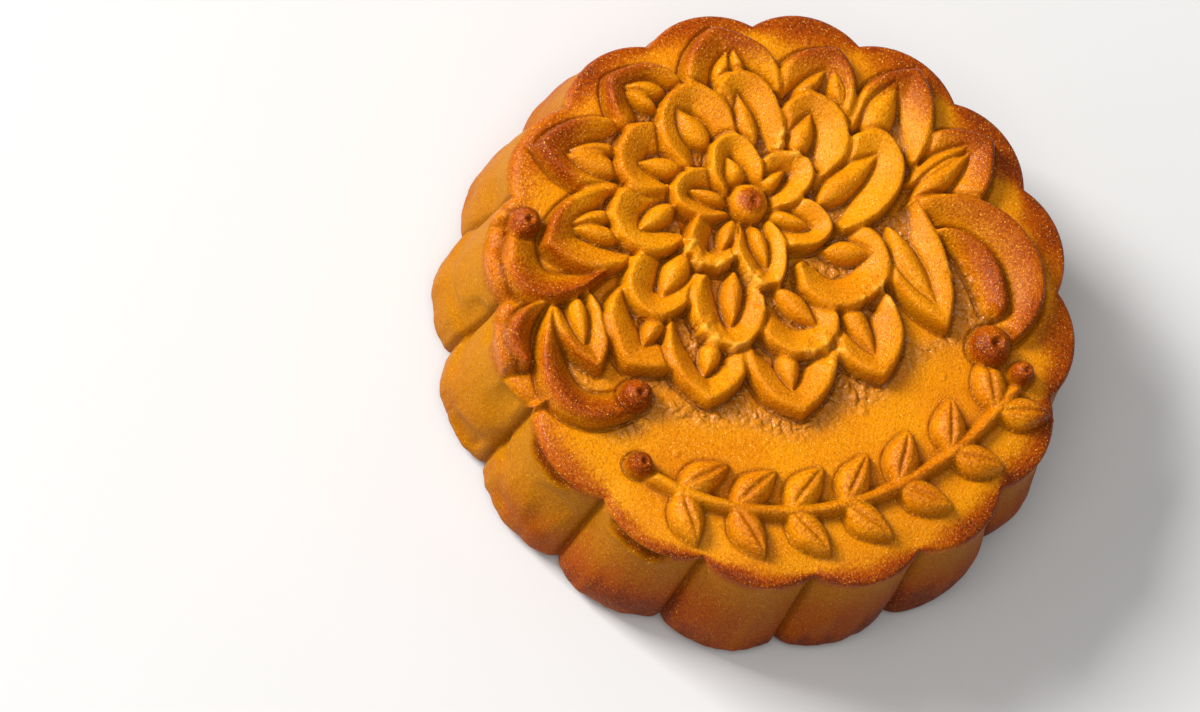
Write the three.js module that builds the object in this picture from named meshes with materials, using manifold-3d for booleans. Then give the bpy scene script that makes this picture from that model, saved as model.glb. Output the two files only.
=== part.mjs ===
// A round baked mooncake with sixteen fluted lobes and a moulded flower on its top.
// Millimetres, +Z up. The origin is the middle of the flat base that the cake rests on.
//
// Plan places on the top face are given in rim radii: 1 is the radius at the notches
// between two lobes. +Y goes through the middle of the lobe that the flower leans towards.

import * as THREE from "three";
import { mergeVertices } from "three/addons/utils/BufferGeometryUtils.js";
import Module from "manifold-3d";

// ---- driving dimensions ----------------------------------------------------------------

const RIM_RADIUS = 36.7;        // radius of the top rim at the notches
const FACE_HEIGHT = 22.7;       // base to the flat of the top face
const LOBES = 16;
const LOBE_BULGE = 1.055;       // lobe middle, against the notch radius
const BELLY = 1.06;             // widest girth of the wall, against the top rim
const BASE_EDGE = 2.4;          // rounding where the wall turns into the base
const SHOULDER = 1.5;           // rounding where the wall turns into the top face
const STEPS_PER_LOBE = 6;

const RELIEF = 2.6;             // height of the moulded rims above the face
const DISH_FLOOR = 0.4;         // sunken inside of a petal above the face
const SEED_HEIGHT = 2.2;        // ridge of the seeds above the face
const BALL_HEIGHT = 3.1;        // top of the bud and of the scrolls' balls above the face
const ROOT = 1.0;               // how far every moulded shape reaches into the cake
const FLAT = 1e-3;              // heights smaller than this count as level
const OVERLAP = 0.35;           // how far a front petal laps over the one behind it
const PETAL_STEPS = 15;         // odd, so that one point of an outline is the petal's tip

const CRUST = new THREE.MeshStandardMaterial({ color: 0xc9781b, roughness: 0.55, metalness: 0 });

// ---- the flower: petals as tip x, y, base x, y, left and right half width, rim width -----
// Left and right are as seen on the way from the base to the tip. Later rows lie in front.

const INNER_PETALS = [
  [0.225, 0.18, 0.01, 0.29, 0.095, 0.11, 0.065],
  [-0.285, 0.15, -0.12, 0.29, 0.1, 0.11, 0.065],
  [-0.3, 0.43, -0.1, 0.35, 0.085, 0.12, 0.065],
  [0.222, 0.435, 0.0, 0.355, 0.105, 0.1, 0.065],
  [-0.045, 0.6, -0.04, 0.365, 0.102, 0.1, 0.068],
  [-0.065, 0.024, -0.038, 0.275, 0.102, 0.1, 0.066],
];
const MIDDLE_PETALS = [
  [0.04, -0.245, 0.0, 0.02, 0.14, 0.17, 0.09],
  [-0.538, 0.034, -0.33, 0.19, 0.12, 0.14, 0.09],
  [-0.27, -0.16, -0.175, 0.09, 0.125, 0.148, 0.082],
  [-0.54, 0.38, -0.29, 0.36, 0.148, 0.13, 0.09],
  [-0.445, 0.622, -0.27, 0.53, 0.142, 0.145, 0.095],
  [0.3, -0.092, 0.2, 0.15, 0.165, 0.205, 0.1],
  [0.54, 0.465, 0.2, 0.29, 0.115, 0.19, 0.115],
  [0.335, 0.67, 0.165, 0.44, 0.125, 0.165, 0.105],
  [0.06, 0.812, 0.035, 0.5, 0.125, 0.14, 0.1],
  [-0.15, 0.805, -0.09, 0.52, 0.168, 0.125, 0.1],
];
const BACK_PETALS = [
  [0.908, 0.378, 0.55, 0.3, 0.135, 0.205, 0.1]
];
const OUTER_PETALS = [
  [0.515, -0.262, 0.44, 0.2, 0.14, 0.12, 0.11],
  [0.235, -0.388, 0.2, -0.08, 0.165, 0.135, 0.11],
  [-0.645, -0.14, -0.45, 0.02, 0.175, 0.19, 0.1],
  [-0.395, -0.34, -0.285, -0.06, 0.14, 0.18, 0.078],
  [-0.08, -0.45, -0.06, -0.17, 0.172, 0.162, 0.1],
  [-0.715, 0.697, -0.42, 0.6, 0.16, 0.14, 0.095],
  [-0.798, 0.335, -0.5, 0.36, 0.155, 0.155, 0.095],
  [-0.395, 0.896, -0.24, 0.7, 0.13, 0.17, 0.072],
  [0.72, 0.692, 0.49, 0.44, 0.158, 0.155, 0.108],
  [0.457, 0.82, 0.28, 0.62, 0.165, 0.145, 0.11],
  [0.035, 0.988, 0.03, 0.72, 0.168, 0.192, 0.1],
];
const SIDE_PETALS = [
  [-0.735, -0.14, -0.75, 0.155, 0.092, 0.108, 0.066]
];

// root: width at the base, against the widest place. full, sharp: shape towards the tip; with
// sharp 0.5 the tip is round and with 1 it is a corner.
const POINTED = { root: 0.92, full: 3.2, sharp: 0.9 };
const ROUNDED = { root: 0.75, full: 3.5, sharp: 0.5 };

// Seeds as start x, y, end x, y, half width.
const SEEDS = [
  [-0.042, 0.385, -0.062, 0.52, 0.037], [0.01, 0.362, 0.132, 0.422, 0.028],
  [0.015, 0.29, 0.155, 0.203, 0.031], [-0.045, 0.27, -0.045, 0.095, 0.034],
  [-0.1, 0.295, -0.2, 0.183, 0.03], [-0.1, 0.345, -0.232, 0.428, 0.03],
  [-0.11, 0.56, -0.19, 0.722, 0.05], [0.045, 0.525, 0.04, 0.735, 0.04],
  [0.165, 0.455, 0.286, 0.61, 0.044], [0.19, 0.275, 0.47, 0.413, 0.05],
  [0.165, 0.12, 0.348, 0.065, 0.045], [-0.04, 0.035, 0.065, -0.145, 0.044],
  [-0.165, 0.12, -0.237, -0.08, 0.038], [-0.3, 0.215, -0.442, 0.075, 0.047],
  [-0.29, 0.385, -0.455, 0.322, 0.04], [-0.22, 0.5, -0.385, 0.56, 0.04],
  [0.53, 0.285, 0.808, 0.376, 0.042], [0.52, 0.21, 0.812, 0.352, 0.044],
  [-0.02, 0.77, 0.055, 0.885, 0.034], [0.065, 0.77, 0.078, 0.892, 0.028],
  [0.22, 0.655, 0.387, 0.748, 0.034], [0.385, 0.6, 0.41, 0.745, 0.03],
  [0.44, 0.46, 0.624, 0.65, 0.055], [0.425, 0.16, 0.5, -0.165, 0.046],
  [0.19, -0.05, 0.232, -0.292, 0.045], [-0.06, -0.18, -0.092, -0.355, 0.042],
  [-0.29, -0.1, -0.375, -0.235, 0.037], [-0.45, 0.02, -0.562, -0.08, 0.038],
  [-0.51, 0.395, -0.678, 0.392, 0.032], [-0.51, 0.305, -0.678, 0.378, 0.034],
  [-0.42, 0.62, -0.61, 0.652, 0.032], [-0.43, 0.53, -0.628, 0.642, 0.045],
  [-0.2, 0.79, -0.348, 0.842, 0.036], [-0.25, 0.73, -0.345, 0.825, 0.03],
  [-0.74, 0.165, -0.762, -0.035, 0.035],
];

// ---- the scrolls: curl as four curve points, then half width at start, middle and end ---

const RIGHT_SCROLLS = [
  [[0.54, 0.185], [0.82, 0.2], [0.985, -0.2], [0.71, -0.315], 0.04, 0.083, 0.04],
  [[0.575, 0.095], [0.7, 0.05], [0.735, -0.08], [0.715, -0.2], 0.015, 0.058, 0.054],
];
const LEFT_SCROLLS = [
  [[-0.85, 0.135], [-0.95, 0.13], [-1.0, 0.03], [-0.972, -0.03], 0.012, 0.043, 0.036],
  [[-0.8, 0.15], [-0.97, -0.1], [-0.885, -0.325], [-0.64, -0.25], 0.02, 0.062, 0.05],
];
const TOP_SCROLLS = [
  [[-0.84, 0.4], [-0.94, 0.25], [-0.87, 0.13], [-0.6, 0.215], 0.05, 0.07, 0.014],
];

// What lies on the face, from the back to the front.
const LAYERS = [
  { petals: BACK_PETALS, outline: POINTED },
  { scrolls: RIGHT_SCROLLS },
  { scrolls: LEFT_SCROLLS },
  { petals: SIDE_PETALS, outline: POINTED },
  { scrolls: TOP_SCROLLS },
  { petals: OUTER_PETALS, outline: POINTED },
  { petals: MIDDLE_PETALS, outline: ROUNDED },
  { petals: INNER_PETALS, outline: ROUNDED },
];

// ---- the leaf spray under the flower ---------------------------------------------------

const STEM = [[-0.66, -0.52], [-0.32, -0.86], [0.22, -0.86], [0.7, -0.5]];
const STEM_HALF_WIDTH = 0.03;
const LEAVES = 7;               // pairs of leaves along the stem
const LEAF_LENGTH = 0.21;
const LEAF_HALF_WIDTH = 0.058;
const LEAF_SPREAD = 0.85;       // radians between the stem and a leaf

// Balls as x, y, radius.
const BALLS = [
  [-0.035, 0.335, 0.07],
  [-0.83, 0.435, 0.057],
  [-0.63, -0.24, 0.06],
  [0.655, -0.34, 0.074],
  [-0.69, -0.48, 0.045],
  [0.735, -0.46, 0.045],
];

// ---- booleans --------------------------------------------------------------------------

const wasm = await Module();
wasm.setup();

/** A closed three.js geometry as a manifold solid. */
function toSolid(geometry) {
  const bare = geometry.index ? geometry.toNonIndexed() : geometry.clone();
  bare.deleteAttribute("normal");
  bare.deleteAttribute("uv");
  const merged = mergeVertices(bare, 1e-4);
  const mesh = new wasm.Mesh({
    numProp: 3,
    vertProperties: new Float32Array(merged.attributes.position.array),
    triVerts: dropThinFaces(merged.index.array),
  });
  mesh.merge();
  return new wasm.Manifold(mesh);
}

/** The triangles that still have three different corners after merging. */
function dropThinFaces(index) {
  const kept = [];
  for (let i = 0; i < index.length; i += 3) {
    const [a, b, c] = index.slice(i, i + 3);
    if (a !== b && b !== c && c !== a) {
      kept.push(a, b, c);
    }
  }
  return new Uint32Array(kept);
}

/** A manifold solid as a three.js geometry. */
function toGeometry(solid) {
  const mesh = solid.getMesh();
  const geometry = new THREE.BufferGeometry();
  geometry.setAttribute("position", new THREE.BufferAttribute(mesh.vertProperties, 3));
  geometry.setIndex(new THREE.BufferAttribute(mesh.triVerts, 1));
  geometry.computeVertexNormals();
  return geometry;
}

/** Moves every vertex of a geometry by a function of its place. */
function reshape(geometry, move) {
  const place = geometry.attributes.position;
  const point = new THREE.Vector3();
  for (let i = 0; i < place.count; i++) {
    point.fromBufferAttribute(place, i);
    move(point);
    place.setXYZ(i, point.x, point.y, point.z);
  }
  return geometry;
}

// ---- shapes ----------------------------------------------------------------------------

/** Radius of the scalloped outline at an angle from a lobe's middle, 1 at the notches. */
function lobeRadius(angle) {
  const half = Math.PI / LOBES;
  const chord = Math.cos(half);
  const rise = LOBE_BULGE - chord;
  const arc = (Math.sin(half) ** 2 + rise ** 2) / (2 * rise);
  const centre = LOBE_BULGE - arc;
  const turn = 2 * half;
  const off = angle - turn * Math.round(angle / turn);
  return centre * Math.cos(off) + Math.sqrt(arc ** 2 - (centre * Math.sin(off)) ** 2);
}

/** The fluted cake without its relief. */
function cakeBody() {
  const belly = RIM_RADIUS * BELLY;
  const wallTop = FACE_HEIGHT - SHOULDER;
  const profile = new THREE.Path();
  profile.moveTo(0, 0);
  profile.lineTo(belly - BASE_EDGE, 0);
  profile.quadraticCurveTo(belly, 0, belly, BASE_EDGE * 1.4);
  profile.bezierCurveTo(belly, 0.5 * FACE_HEIGHT, RIM_RADIUS, 0.7 * FACE_HEIGHT, RIM_RADIUS, wallTop);
  profile.quadraticCurveTo(RIM_RADIUS, FACE_HEIGHT, RIM_RADIUS - SHOULDER, FACE_HEIGHT);
  profile.lineTo(0, FACE_HEIGHT);
  const lathe = new THREE.LatheGeometry(profile.getPoints(2), LOBES * STEPS_PER_LOBE);
  lathe.rotateX(Math.PI / 2);
  return toSolid(reshape(lathe, (point) => {
    const scale = lobeRadius(Math.atan2(point.x, point.y));
    point.x *= scale;
    point.y *= scale;
  }));
}

/** Plan point of a petal's edge: step 0 is the right root and the middle step is the tip. */
function petalEdge([tipX, tipY, baseX, baseY, left, right], outline, step) {
  const half = (PETAL_STEPS - 1) / 2;
  const along = Math.sin((Math.PI / 2) * (1 - Math.abs(step - half) / half));
  const swell = Math.sin((Math.PI / 2) * Math.min(along / 0.45, 1));
  const spread = outline.root + (1 - outline.root) * swell;
  const width = spread * (1 - along ** outline.full) ** outline.sharp;
  const across = step < half ? -right * width : left * width;
  const axis = new THREE.Vector2(tipX - baseX, tipY - baseY);
  const length = axis.length();
  return new THREE.Vector2(
    baseX + along * axis.x - (across * axis.y) / length,
    baseY + along * axis.y + (across * axis.x) / length,
  );
}

/** The same petal with its edge drawn in by a width, and its base by a quarter of that. */
function drawnIn([tipX, tipY, baseX, baseY, left, right], width) {
  const way = new THREE.Vector2(tipX - baseX, tipY - baseY).normalize();
  return [
    tipX - way.x * width, tipY - way.y * width,
    baseX + (way.x * width) / 4, baseY + (way.y * width) / 4,
    left - width, right - width,
  ];
}

/** A profile turned about the petal's middle: radius 1 is its edge, 0.5 the inner petal's. */
function petalSolid(petal, inner, outline, profile) {
  const [tipX, tipY, baseX, baseY] = petal;
  const middle = new THREE.Vector2(baseX + 0.6 * (tipX - baseX), baseY + 0.6 * (tipY - baseY));
  const dish = new THREE.LatheGeometry(profile.map((p) => new THREE.Vector2(...p)), PETAL_STEPS);
  dish.rotateX(Math.PI / 2);
  return toSolid(reshape(dish, (point) => {
    const reach = Math.hypot(point.x, point.y);
    const turn = Math.atan2(point.x, -point.y) / (2 * Math.PI) + 1;
    const step = Math.round(turn * PETAL_STEPS) % PETAL_STEPS;
    const loop = reach > 0.75 ? petal : inner;
    const edge = reach < 0.25 ? middle : petalEdge(loop, outline, step);
    point.x = edge.x * RIM_RADIUS;
    point.y = edge.y * RIM_RADIUS;
  }));
}

/** One petal: a raised rim around a sunken inside. */
function petalDish(petal, outline) {
  const bottom = FACE_HEIGHT - ROOT;
  const rim = FACE_HEIGHT + RELIEF;
  const floor = FACE_HEIGHT + DISH_FLOOR;
  const rimWidth = petal[6];
  return petalSolid(petal, drawnIn(petal, rimWidth), outline, [
    [0, bottom], [1, bottom], [1, rim], [0.5, floor], [0, floor],
  ]);
}

/** The room above the face that a petal takes from the petals behind it. */
function petalRoom(petal, outline) {
  const bottom = FACE_HEIGHT + 0.05;
  const top = FACE_HEIGHT + 2 * RELIEF;
  const room = drawnIn(petal, OVERLAP / RIM_RADIUS);
  return petalSolid(room, room, outline, [[0, bottom], [1, bottom], [1, top], [0, top]]);
}

/** An almond-shaped seed between two plan points. */
function seedSolid([startX, startY, endX, endY, halfWidth]) {
  const length = Math.hypot(endX - startX, endY - startY);
  const angle = Math.atan2(endY - startY, endX - startX);
  const seed = new THREE.SphereGeometry(1, 8, 4);
  seed.rotateZ(Math.PI / 2);
  reshape(seed, (point) => {
    const slim = (1 - point.x ** 2) ** 0.25;
    point.x *= (length / 2) * RIM_RADIUS;
    point.y *= slim * halfWidth * RIM_RADIUS;
    point.z = point.z > -FLAT ? Math.max(0, point.z) * SEED_HEIGHT : -ROOT;
  });
  seed.rotateZ(angle);
  seed.translate(
    ((startX + endX) / 2) * RIM_RADIUS,
    ((startY + endY) / 2) * RIM_RADIUS,
    FACE_HEIGHT,
  );
  return toSolid(seed);
}

/** A round-topped bar along a plan curve. width gives its half width from 0 to 1 along it. */
function barSolid(points, width, height, steps) {
  const curve = new THREE.CubicBezierCurve(...points.map((p) => new THREE.Vector2(...p)));
  const bar = new THREE.CylinderGeometry(1, 1, 1, 6, steps);
  return toSolid(reshape(bar, (point) => {
    const t = point.y + 0.5;
    const centre = curve.getPoint(t);
    const way = curve.getTangent(t);
    const half = width(t);
    const across = point.x * half;
    point.x = (centre.x + way.y * across) * RIM_RADIUS;
    point.y = (centre.y - way.x * across) * RIM_RADIUS;
    point.z = FACE_HEIGHT - ROOT + (point.z + 1) * 0.5 * (height + ROOT);
  }));
}

/** A scroll that swells from its start to its middle and thins again to its end. */
function scrollSolid(scroll) {
  const [start, middle, end] = scroll.slice(4);
  const swell = 4 * middle - start - end;
  const width = (t) => start * (1 - t) ** 2 + swell * t * (1 - t) + end * t ** 2;
  return barSolid(scroll.slice(0, 4), width, RELIEF, 8);
}

/** A round knob with a domed top. */
function ballSolid([x, y, radius]) {
  const ball = new THREE.SphereGeometry(1, 10, 6);
  ball.rotateX(Math.PI / 2);
  return toSolid(reshape(ball, (point) => {
    point.x = (x + radius * point.x) * RIM_RADIUS;
    point.y = (y + radius * point.y) * RIM_RADIUS;
    point.z = FACE_HEIGHT + (point.z > -FLAT ? Math.max(0, point.z) * BALL_HEIGHT : -ROOT);
  }));
}

/** The curved stem and its pairs of leaves. */
function leafSpray() {
  const curve = new THREE.CubicBezierCurve(...STEM.map((p) => new THREE.Vector2(...p)));
  const shapes = [barSolid(STEM, () => STEM_HALF_WIDTH, RELIEF * 0.7, 12)];
  for (let i = 0; i < LEAVES; i++) {
    const t = (i + 0.5) / LEAVES;
    const root = curve.getPoint(t);
    const way = curve.getTangent(t).angle();
    for (const side of [-1, 1]) {
      const angle = way + side * LEAF_SPREAD;
      const tipX = root.x + LEAF_LENGTH * Math.cos(angle);
      const tipY = root.y + LEAF_LENGTH * Math.sin(angle);
      shapes.push(seedSolid([root.x, root.y, tipX, tipY, LEAF_HALF_WIDTH]));
    }
  }
  return shapes;
}

// ---- assembly --------------------------------------------------------------------------

/** The cake with all its moulding. A petal in front cuts away what lies behind it. */
function mouldedCake() {
  let shape = cakeBody();
  for (const layer of LAYERS) {
    for (const petal of layer.petals ?? []) {
      shape = shape.subtract(petalRoom(petal, layer.outline));
      shape = shape.add(petalDish(petal, layer.outline));
    }
    for (const scroll of layer.scrolls ?? []) {
      shape = shape.add(scrollSolid(scroll));
    }
  }
  const small = [...SEEDS.map(seedSolid), ...BALLS.map(ballSolid), ...leafSpray()];
  return shape.add(wasm.Manifold.union(small));
}

const mooncake = new THREE.Mesh(toGeometry(mouldedCake()), CRUST);
mooncake.name = "mooncake";

const group = new THREE.Group();
group.add(mooncake);

export default group;
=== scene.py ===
"""A baked mooncake with a moulded flower, lying on its base under soft studio light.

The plan of the moulding is given in rim radii, as in the part: 1 is the radius of the top
rim at the notches between two lobes. The cake's upright axis is Z, and +Y is the way that the
flower lies from the middle of the face. Heights and small widths are in millimetres, and
Blender's own units are metres.
"""

import math

import bpy
import numpy as np
from mathutils import Matrix, Vector


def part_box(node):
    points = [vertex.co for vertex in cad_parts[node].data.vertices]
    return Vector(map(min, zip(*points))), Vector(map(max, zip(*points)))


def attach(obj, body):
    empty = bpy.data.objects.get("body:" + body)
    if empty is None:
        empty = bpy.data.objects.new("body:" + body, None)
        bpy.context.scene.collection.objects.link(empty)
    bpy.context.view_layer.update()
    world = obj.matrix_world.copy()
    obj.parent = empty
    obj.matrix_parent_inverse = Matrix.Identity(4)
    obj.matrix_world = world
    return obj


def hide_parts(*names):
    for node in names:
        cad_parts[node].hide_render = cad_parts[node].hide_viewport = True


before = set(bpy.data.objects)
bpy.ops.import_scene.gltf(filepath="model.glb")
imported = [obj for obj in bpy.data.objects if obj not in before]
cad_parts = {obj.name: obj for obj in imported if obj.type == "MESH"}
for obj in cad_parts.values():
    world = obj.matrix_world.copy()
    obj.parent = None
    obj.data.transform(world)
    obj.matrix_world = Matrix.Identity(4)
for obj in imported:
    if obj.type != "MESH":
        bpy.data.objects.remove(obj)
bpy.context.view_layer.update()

NODE = "mooncake"
PIECE = "cake_crust"
SLOT = "crust"
MM = 0.001

# ---- sizes ---------------------------------------------------------------------------------

LOBES = 16
LOBE_BULGE = 1.055            # lobe middle against the notch radius
BELLY = 1.06                  # widest girth of the wall against the top rim
BELLY_LEVEL = 0.12            # height of the widest place, as a share of the wall's
CAD_RELIEF = 3.1              # the CAD part's highest moulding above the face

LOW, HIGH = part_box(NODE)
RIM = (HIGH.x - LOW.x) / 2 / (LOBE_BULGE * BELLY) / MM      # rim radius at the notches, mm
FACE = HIGH.z / MM - CAD_RELIEF                             # height of the top face, mm

# The moulding, in mm where nothing else is said.
RELIEF = 2.75                 # rims of the petals above the face
DISH_FLOOR = 0.15             # inside of a petal above the face
RIM_WIDTH = 1.15              # scale of the rim widths given with the petals
RIM_FALL = 0.7                # share of its height that a petal's rim loses inwards
FLOOR_STEP = 0.35             # width of the drop from a petal's rim to its floor
ROOT_WIDTH = 0.3              # width of a petal's rim at the root against the rest of it
ROOT_RELIEF = 0.86            # height of a petal's rim at the root against the rest of it
SEED_RISE = 2.3               # seeds and leaves above the face
SEED_GIRTH = 1.06             # scale of the widths given with the seeds, for rounded feet
BALL_RISE = 3.05              # knobs above the face
BUD_RISE = RELIEF + 0.1       # bud in the flower's middle, above the face
STEM_RISE = RELIEF * 0.7      # stem of the leaf spray above the face
BAR_EDGE = 0.8                # width of the rounding along a scroll's edges
BAR_DROP = 0.4                # what that rounding takes off at the very edge
STEP = 0.26                   # half width of the steep drop outside a petal or scroll
CREASE = 0.55                 # depth of the creases round all of these
CREASE_WIDTH = 0.2
TEAR = 0.014                  # how far torn edges are bitten into, rim radii
FLAKE = 0.35                  # height of the flakes along torn edges

# ---- the flower: petals as tip x, y, base x, y, left and right half width, rim width --------
# Left and right are as seen on the way from the base to the tip. Later rows lie in front.

INNER_PETALS = [
    (0.225, 0.18, 0.01, 0.29, 0.095, 0.11, 0.065),
    (-0.285, 0.15, -0.12, 0.29, 0.1, 0.11, 0.065),
    (-0.3, 0.43, -0.1, 0.35, 0.085, 0.12, 0.065),
    (0.222, 0.435, 0.0, 0.355, 0.105, 0.1, 0.065),
    (-0.045, 0.6, -0.04, 0.365, 0.102, 0.1, 0.068),
    (-0.065, 0.024, -0.038, 0.275, 0.102, 0.1, 0.066),
]
MIDDLE_PETALS = [
    (0.04, -0.245, 0.0, 0.02, 0.14, 0.17, 0.09),
    (-0.538, 0.034, -0.33, 0.19, 0.12, 0.14, 0.09),
    (-0.27, -0.16, -0.175, 0.09, 0.125, 0.148, 0.082),
    (-0.54, 0.38, -0.29, 0.36, 0.148, 0.13, 0.09),
    (-0.445, 0.622, -0.27, 0.53, 0.142, 0.145, 0.095),
    (0.3, -0.092, 0.2, 0.15, 0.165, 0.205, 0.1),
    (0.54, 0.465, 0.2, 0.29, 0.115, 0.19, 0.115),
    (0.335, 0.67, 0.165, 0.44, 0.125, 0.165, 0.105),
    (0.06, 0.812, 0.035, 0.5, 0.125, 0.14, 0.1),
    (-0.15, 0.805, -0.09, 0.52, 0.168, 0.125, 0.1),
]
BACK_PETALS = [(0.908, 0.378, 0.55, 0.3, 0.135, 0.205, 0.1)]
OUTER_PETALS = [
    (0.515, -0.262, 0.44, 0.2, 0.14, 0.12, 0.11),
    (0.235, -0.388, 0.2, -0.08, 0.165, 0.135, 0.11),
    (-0.645, -0.14, -0.45, 0.02, 0.175, 0.19, 0.1),
    (-0.395, -0.34, -0.285, -0.06, 0.14, 0.18, 0.078),
    (-0.08, -0.45, -0.06, -0.17, 0.172, 0.162, 0.1),
    (-0.715, 0.697, -0.42, 0.6, 0.16, 0.14, 0.095),
    (-0.798, 0.335, -0.5, 0.36, 0.155, 0.155, 0.095),
    (-0.395, 0.896, -0.24, 0.7, 0.13, 0.17, 0.072),
    (0.72, 0.692, 0.49, 0.44, 0.158, 0.155, 0.108),
    (0.457, 0.82, 0.28, 0.62, 0.165, 0.145, 0.11),
    (0.035, 0.988, 0.03, 0.72, 0.168, 0.192, 0.1),
]
SIDE_PETALS = [(-0.735, -0.14, -0.75, 0.155, 0.092, 0.108, 0.066)]

# Seeds as start x, y, end x, y, half width.
INNER_SEEDS = [
    (-0.042, 0.385, -0.062, 0.52, 0.037), (0.01, 0.362, 0.132, 0.422, 0.028),
    (0.015, 0.29, 0.155, 0.203, 0.031), (-0.045, 0.27, -0.045, 0.095, 0.034),
    (-0.1, 0.295, -0.2, 0.183, 0.03), (-0.1, 0.345, -0.232, 0.428, 0.03),
]
MIDDLE_SEEDS = [
    (-0.11, 0.56, -0.19, 0.722, 0.05), (0.045, 0.525, 0.04, 0.735, 0.04),
    (0.165, 0.455, 0.286, 0.61, 0.044), (0.19, 0.275, 0.47, 0.413, 0.05),
    (0.165, 0.12, 0.348, 0.065, 0.045), (-0.04, 0.035, 0.065, -0.145, 0.044),
    (-0.165, 0.12, -0.237, -0.08, 0.038), (-0.3, 0.215, -0.442, 0.075, 0.047),
    (-0.29, 0.385, -0.455, 0.322, 0.04), (-0.22, 0.5, -0.385, 0.56, 0.04),
]
BACK_SEEDS = [(0.53, 0.285, 0.808, 0.376, 0.042), (0.52, 0.21, 0.812, 0.352, 0.044)]
OUTER_SEEDS = [
    (-0.02, 0.77, 0.055, 0.885, 0.034), (0.065, 0.77, 0.078, 0.892, 0.028),
    (0.22, 0.655, 0.387, 0.748, 0.034), (0.385, 0.6, 0.41, 0.745, 0.03),
    (0.44, 0.46, 0.624, 0.65, 0.055), (0.425, 0.16, 0.5, -0.165, 0.046),
    (0.19, -0.05, 0.232, -0.292, 0.045), (-0.06, -0.18, -0.092, -0.355, 0.042),
    (-0.29, -0.1, -0.375, -0.235, 0.037), (-0.45, 0.02, -0.562, -0.08, 0.038),
    (-0.51, 0.395, -0.678, 0.392, 0.032), (-0.51, 0.305, -0.678, 0.378, 0.034),
    (-0.42, 0.62, -0.61, 0.652, 0.032), (-0.43, 0.53, -0.628, 0.642, 0.045),
    (-0.2, 0.79, -0.348, 0.842, 0.036), (-0.25, 0.73, -0.345, 0.825, 0.03),
]
SIDE_SEEDS = [(-0.74, 0.165, -0.762, -0.035, 0.035)]

# root: width at the base against the widest place. full, sharp: shape towards the tip; with
# sharp 0.5 the tip is round and with 1 it is a corner. lip: rounding of the outer edge, mm.
# toast: how much the ring is browned.
POINTED = dict(root=0.92, full=3.2, sharp=0.9, lip=1.1, toast=1.0)
SIDE_RING = (SIDE_PETALS, SIDE_SEEDS, dict(POINTED, root=0.75))
BACK_RING = (BACK_PETALS, BACK_SEEDS, POINTED)
OUTER_RING = (OUTER_PETALS, OUTER_SEEDS, POINTED)
ROUNDED = dict(root=0.75, full=3.5, sharp=0.5, lip=0.8, toast=0.5)
MIDDLE_RING = (MIDDLE_PETALS, MIDDLE_SEEDS, ROUNDED)
INNER_RING = (INNER_PETALS, INNER_SEEDS, dict(ROUNDED, root=0.62, lip=0.6, toast=0.0))

# Scrolls: four curve points, half width at start, middle and end, and where the crest lies
# across them, from -1 on the left of the way to 1 on its right.
RIGHT_SCROLLS = [
    ([(0.54, 0.185), (0.82, 0.2), (0.985, -0.2), (0.71, -0.315)], (0.04, 0.083, 0.04), -0.72),
    ([(0.575, 0.095), (0.7, 0.05), (0.735, -0.08), (0.715, -0.2)], (0.015, 0.058, 0.054), -0.5),
]
LEFT_SCROLLS = [
    ([(-0.85, 0.135), (-0.95, 0.13), (-1.0, 0.03), (-0.972, -0.03)], (0.012, 0.043, 0.036), 0.4),
    ([(-0.8, 0.15), (-0.97, -0.1), (-0.885, -0.325), (-0.64, -0.25)], (0.02, 0.062, 0.05), 0.4),
]
TOP_SCROLLS = [
    ([(-0.84, 0.4), (-0.94, 0.25), (-0.87, 0.13), (-0.6, 0.215)], (0.05, 0.07, 0.014), 0.6),
]

# The leaf spray under the flower.
STEM = [(-0.66, -0.52), (-0.32, -0.86), (0.22, -0.86), (0.7, -0.5)]
STEM_HALF_WIDTH = 0.03
LEAVES = 7                    # pairs of them
LEAF_LENGTH = 0.21
LEAF_HALF_WIDTH = 0.058
LEAF_SPREAD = 0.85            # angle between a leaf and the stem, radians

# Knobs as x, y, radius.
BUD = (-0.035, 0.335, 0.07)
BALLS = [
    (-0.83, 0.435, 0.057), (-0.63, -0.24, 0.06), (0.655, -0.34, 0.074),
    (-0.69, -0.48, 0.045), (0.735, -0.46, 0.045),
]

# Places where the crust of a petal's edge is torn, as x, y, reach.
TORN_EDGES = [
    (-0.3, -0.12, 0.12), (0.3, -0.09, 0.09), (0.16, 0.5, 0.09), (-0.29, 0.19, 0.08),
    (-0.1, 0.04, 0.11), (0.06, -0.23, 0.1), (-0.2, 0.16, 0.07), (0.61, -0.06, 0.06),
]

# Lobes whose crust has slit open under the rim, in degrees from +X.
SLIT_LOBES = (-157.5, -135.0)

# ---- small maths ---------------------------------------------------------------------------

TINY = 1e-9
NOISE_VALUES = 256            # a power of two
OCTAVE_SHIFT = 17             # keeps the octaves of a cloud from meeting at the origin

VALUES = np.random.default_rng(16).random(NOISE_VALUES)
SHUFFLE = np.random.default_rng(8).permutation(NOISE_VALUES)


def smooth(low, high, value):
    """0 at low, 1 at high, and an easy curve between."""
    t = np.clip((value - low) / (high - low), 0, 1)
    return t * t * (3 - 2 * t)


def mix(a, b, share):
    return a + (b - a) * share


def bell(distance, width):
    """1 at distance 0, falling away to nothing at about twice the width."""
    return np.exp(-(distance / width) ** 2)


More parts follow.
